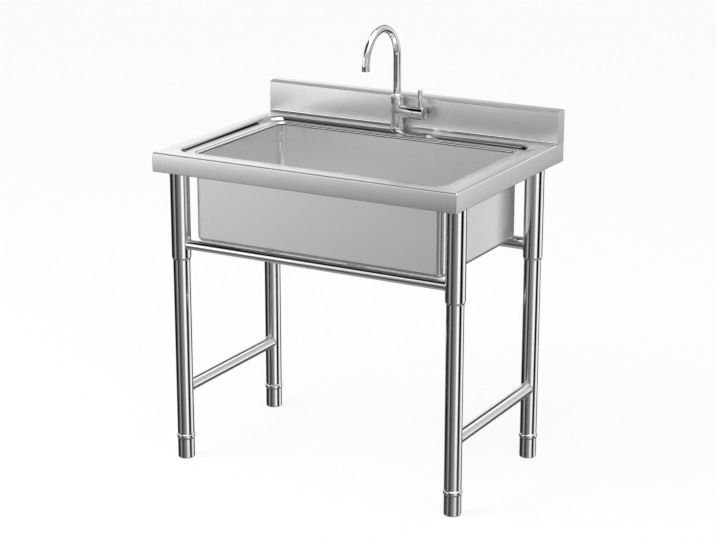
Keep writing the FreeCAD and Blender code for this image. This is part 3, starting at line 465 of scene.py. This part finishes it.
def weld_bead(rail, post, metal):
    rail_low, rail_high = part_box(rail)
    post_low, post_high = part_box(post)
    centre, post_centre = (rail_low + rail_high) / 2, (post_low + post_high) / 2
    tube, post_radius = (rail_high.z - rail_low.z) / 2, (post_high.x - post_low.x) / 2
    along = 0 if rail_high.x - rail_low.x > rail_high.y - rail_low.y else 1
    side = 1 if post_centre[along] > centre[along] else -1
    line = bpy.data.curves.new("bead_line", "CURVE")
    line.dimensions, line.bevel_depth, line.bevel_resolution = "3D", bead_radius, 3
    path = line.splines.new("POLY")
    path.points.add(bead_points - 1)
    path.use_cyclic_u = True
    for step, point in enumerate(path.points):
        angle = 2 * math.pi * step / bead_points
        across = tube * math.cos(angle)
        place = Vector((0.0, 0.0, centre.z + tube * math.sin(angle)))
        place[1 - along] = centre[1 - along] + across
        place[along] = post_centre[along] - side * math.sqrt(post_radius ** 2 - across ** 2)
        point.co = (*place, 1.0)
    drawn = bpy.data.objects.new("bead_line", line)
    mesh = bpy.data.meshes.new_from_object(drawn)
    bpy.data.objects.remove(drawn)
    mesh.materials.clear()
    mesh.materials.append(metal)
    for face in mesh.polygons:
        face.use_smooth = True
    bead = bpy.data.objects.new("weld_bead_" + rail + "_" + post.split("_", 2)[2], mesh)
    bpy.context.scene.collection.objects.link(bead)
    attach(bead, body_of[rail])
    return bead


weld = weld_metal()
welded = [("front_rail", "leg_sleeve_front_left"), ("front_rail", "leg_sleeve_front_right"),
          ("rear_rail", "leg_sleeve_rear_left"), ("rear_rail", "leg_sleeve_rear_right"),
          ("side_stretcher_left", "lower_leg_front_left"),
          ("side_stretcher_left", "lower_leg_rear_left"),
          ("side_stretcher_right", "lower_leg_front_right"),
          ("side_stretcher_right", "lower_leg_rear_right")]
beads = [weld_bead(rail, post, weld) for rail, post in welded]
print("weld beads:", len(beads), "points each:", len(beads[0].data.vertices))

# %% [markdown]
# ## Screen in the outlet
# The outlet breaks the water into an even stream with a fine woven screen. Its wires are far
# thinner than anything else here, so the screen is one thin disc with a pressed edge, and its
# finish draws the wires as a grid of bright metal over near-black gaps, whose colour is painted
# shade for the dark inside of the outlet seen through the mesh.

# %% A woven screen up inside the aerator
def woven_screen(pitch):
    screen = Finish("woven_screen")
    x, y = (screen.node("ShaderNodeSeparateXYZ", {}, {0: screen.place()}, axis) for axis in (0, 1))
    wires = screen.maths("MAXIMUM", *(screen.maths("PINGPONG", along + 1.0, pitch / 2) / (pitch / 2)
                                      for along in (x, y)))
    wire = screen.ramp_up(wires, 0.55, 0.75)
    # Painted shade: the gaps between the wires are coloured near-black for the dark outlet behind
    # them.
    screen.feed("Base Color", screen.tint(wire, (0.01, 0.01, 0.01), (0.62, 0.62, 0.63)))
    screen.feed("Metallic", wire)
    screen.feed("Roughness", 0.9 - wire * 0.65)
    screen.raise_by(wire, wire_height)
    return screen.material


wire_pitch, wire_height = 0.0009, 0.0002
screen_radius, screen_thickness, up_the_outlet = 0.0053, 0.0003, 0.0054
edge_width, edge_step = 0.0012, 0.0002
outlet_low, outlet_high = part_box("aerator")
outlet = (outlet_low + outlet_high) / 2
disc_shape = bmesh.new()
bmesh.ops.create_circle(disc_shape, cap_ends=True, segments=48, radius=screen_radius)
bmesh.ops.inset_region(disc_shape, faces=disc_shape.faces[:], thickness=edge_width,
                       depth=-edge_step)
bmesh.ops.solidify(disc_shape, geom=disc_shape.faces[:], thickness=screen_thickness)
bmesh.ops.translate(disc_shape, verts=disc_shape.verts,
                    vec=(outlet.x, outlet.y, outlet_low.z + up_the_outlet))
bmesh.ops.recalc_face_normals(disc_shape, faces=disc_shape.faces)
disc_mesh = bpy.data.meshes.new("aerator_screen")
disc_shape.to_mesh(disc_mesh)
disc_shape.free()
disc_mesh.materials.append(woven_screen(wire_pitch))
screen_disc = bpy.data.objects.new("aerator_screen", disc_mesh)
bpy.context.scene.collection.objects.link(screen_disc)
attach(screen_disc, body_of["aerator"])
print("screen faces:", len(disc_mesh.polygons))

# %% [markdown]
# ## Camera
# The photograph was taken from the front right with a long lens, a little above the top.

# %% Place the camera
aim = Vector((-0.0052, 0.0, 0.4873))
azimuth, elevation, distance = math.radians(29.27), math.radians(16.63), 5.0388
back = Vector((math.sin(azimuth) * math.cos(elevation), -math.cos(azimuth) * math.cos(elevation),
               math.sin(elevation)))
lens = bpy.data.cameras.new("studio_camera")
sensor_width, focal_pixels, image_width = 36.0, 2036.3, 716
lens.sensor_width, lens.lens = sensor_width, focal_pixels / image_width * sensor_width
camera = bpy.data.objects.new("studio_camera", lens)
camera.location = aim + back * distance
camera.rotation_euler = (-back).to_track_quat("-Z", "Y").to_euler()
bpy.context.scene.collection.objects.link(camera)
bpy.context.scene.camera = camera
print("camera height in metres:", round(camera.location.z, 3))

# %% [markdown]
# ## Studio
# Polished metal shows the room, so the room is most of the picture. The camera sees plain
# white. Reflections see a white room in which dark cards and soft boxes stand. It is written
# as rings, from the floor up to the ceiling. Each ring says how bright it is at some bearings,
# in degrees, where 0 is straight in front of the sink and 90 is to its right, and each
# passes smoothly into the next one up, between the two heights in degrees that `passes` gives.
# The world works out from a ray's direction which ring it meets. A ramp's colours end at 1, so
# the shades are divided by the brightest one and multiplied by it again.

# %% A white room with cards and soft boxes
ground_ring = [(-180, 0.5), (-60, 0.4), (-40, 0.15), (12, 0.15), (28, 0.5), (125, 0.5),
               (138, 0.15), (165, 0.15), (180, 0.5)]
floor_ring = [(-180, 0.25), (-60, 0.2), (-42, 0.1), (2, 0.1), (22, 0.35), (132, 0.35), (146, 0.1),
              (163, 0.05), (180, 0.25)]
card_ring = [(-180, 0.05), (-152, 0.1), (-145, 0.42), (-126, 0.42), (-113, 0.1),
             (-106, 0.0), (-82, 0.0), (-66, 0.05), (-50, 0.18), (-42, 0.45), (-35, 0.62),
             (-25, 0.05), (-12, 0.05), (3, 0.15), (16, 0.27), (30, 0.33), (42, 0.5),
             (52, 1.3), (58, 1.4), (70, 1.4),
             (76, 1.0), (81, 0.2), (84, 0.0), (107, 0.0), (113, 0.3), (120, 1.1), (149, 1.4),
             (155, 0.45), (159, 0.0), (180, 0.05)]
eye_level_ring = [(-180, 0.9), (-165, 0.4), (-156, 0.7), (-147, 1.25), (-130, 1.25), (-110, 1.0),
                  (-75, 1.0), (-48, 3.0), (-36, 2.9), (-30, 1.3), (-26, 0.55), (-20, 0.4),
                  (5, 0.6), (28, 0.8), (50, 1.0), (80, 1.0), (95, 0.4), (110, 0.6),
                  (150, 0.9), (180, 0.9)]
upper_ring = [(-180, 0.9), (-175, 0.1), (-159, 0.1), (-152, 1.0), (-147, 1.3), (-130, 1.2),
              (-110, 1.0), (-90, 0.6), (-75, 0.1), (-42, 0.0), (-34, 1.2), (-22, 1.4), (-10, 0.6),
              (60, 0.8), (150, 0.6), (168, 1.2), (180, 0.9)]
high_ring = [(-180, 1.0), (-175, 0.5), (-171, 0.0), (-163, 0.0), (-155, 0.4), (-150, 0.5),
             (-134, 0.5), (-127, 0.0), (-109, 0.0), (-105, 1.8), (-88, 1.8), (-82, 0.0),
             (-30, 0.0), (-10, 0.6), (20, 1.6), (60, 1.8), (110, 1.8), (145, 1.2),
             (162, 1.0), (170, 1.8), (180, 1.0)]
ceiling_ring = [(-180, 3.6), (180, 3.6)]
rings = [ground_ring, floor_ring, card_ring, eye_level_ring, upper_ring, high_ring, ceiling_ring]
brightest = 4.0
passes = [(-58, -44), (-29, -20), (-10, -8), (9, 15), (27, 31), (64, 68)]


def between(first, second, amount):
    return first + (second - first) * amount


def reflected_room(room):
    """Brightness of the room in the direction of a ray."""
    ray = room.node("ShaderNodeTexCoord", {}, {}, "Generated")
    east, north, up = (room.node("ShaderNodeSeparateXYZ", {}, {0: ray}, axis) for axis in range(3))
    turn = room.maths("ARCTAN2", east, north * -1.0) / (2 * math.pi) + 0.5
    height = room.maths("ARCSINE", up, 0.0) / math.radians(1.0)
    shades = []
    for ring in rings:
        stops = [((bearing + 180) / 360, (shade / brightest,) * 3) for bearing, shade in ring]
        ramp = room.node("ShaderNodeValToRGB", {"stops": stops}, {0: turn})
        shades.append(ramp * brightest)
    shade = shades[0]
    for upper, (start, end) in zip(shades[1:], passes):
        shade = between(shade, upper, room.ramp_up(height, start, end))
    return shade


def light_path(network, name):
    return network.node("ShaderNodeLightPath", {}, {}, name)


def background(network, colour, strength):
    made = network.node("ShaderNodeBackground", {}, {"Strength": strength})
    if isinstance(colour, Value):
        network.link(colour, made.socket.node, "Color")
    else:
        made.socket.node.inputs["Color"].default_value = (*colour, 1.0)
    return made


def mixed(network, amount, first, second):
    return network.node("ShaderNodeMixShader", {}, {0: amount, 1: first, 2: second})


world = bpy.data.worlds.new("white_room")
bpy.context.scene.world = world
world.use_nodes = True
room = Network(world.node_tree)
mirrored = room.maths("MAXIMUM", light_path(room, "Is Glossy Ray"),
                      light_path(room, "Is Transmission Ray"))
plain_level, paper_white = 0.7, 1.0
lit = background(room, (1, 1, 1), plain_level)
white = background(room, (1, 1, 1), paper_white)
seen = mixed(room, light_path(room, "Is Camera Ray"), lit, white)
room.link(mixed(room, mirrored, seen, background(room, reflected_room(room), 1.0)),
          world.node_tree.nodes["World Output"], "Surface")
print("rings round the room:", len(rings))

# %% [markdown]
# ## Floor
# The floor is pale and catches the sink's soft shadow. To the camera it is mostly plain white,
# so that it meets the white room without an edge. Reflections look past it at the room.

# %% A pale floor
floor_reach, floor_whiteness = 30.0, 0.85
floor_shape = bmesh.new()
bmesh.ops.create_grid(floor_shape, x_segments=1, y_segments=1, size=floor_reach)
floor_mesh = bpy.data.meshes.new("studio_floor")
floor_shape.to_mesh(floor_mesh)
floor_shape.free()
floor = bpy.data.objects.new("studio_floor", floor_mesh)
bpy.context.scene.collection.objects.link(floor)
floor.visible_glossy = False
pale = Finish("pale_floor", Base_Color=(0.97, 0.97, 0.97, 1.0), Roughness=0.9)
bright = pale.node("ShaderNodeEmission", {}, {"Color": (1, 1, 1, 1), "Strength": 1.0})
own = Value(pale, pale.shader.outputs[0])
pale.link(mixed(pale, light_path(pale, "Is Camera Ray") * floor_whiteness, own, bright),
          pale.tree.nodes["Material Output"], "Surface")
floor_mesh.materials.append(pale.material)
print("floor reaches metres:", floor.dimensions.x / 2)

# %% [markdown]
# ## Lamps
# Two large soft lamps give the rubber and plastic their shape and the floor its shadow.

# %% Soft lamps
def soft_lamp(name, place, target, size, watts):
    lamp = bpy.data.lights.new(name, "AREA")
    lamp.size, lamp.energy = size, watts
    holder = bpy.data.objects.new(name, lamp)
    holder.location = place
    aim_at = Vector(target) - Vector(place)
    holder.rotation_euler = aim_at.to_track_quat("-Z", "Y").to_euler()
    holder.visible_glossy = False
    bpy.context.scene.collection.objects.link(holder)
    return holder


soft_lamp("key_lamp", (-1.6, -1.8, 3.0), (0.0, 0.0, 0.6), 1.8, 60.0)
soft_lamp("fill_lamp", (2.2, -1.0, 2.6), (0.0, 0.0, 0.6), 1.4, 20.0)

# %% [markdown]
# ## Finish
# The picture's colours are shown with the Standard view transform.

# %% Finish
view = bpy.context.scene.view_settings
view.view_transform = "Standard"
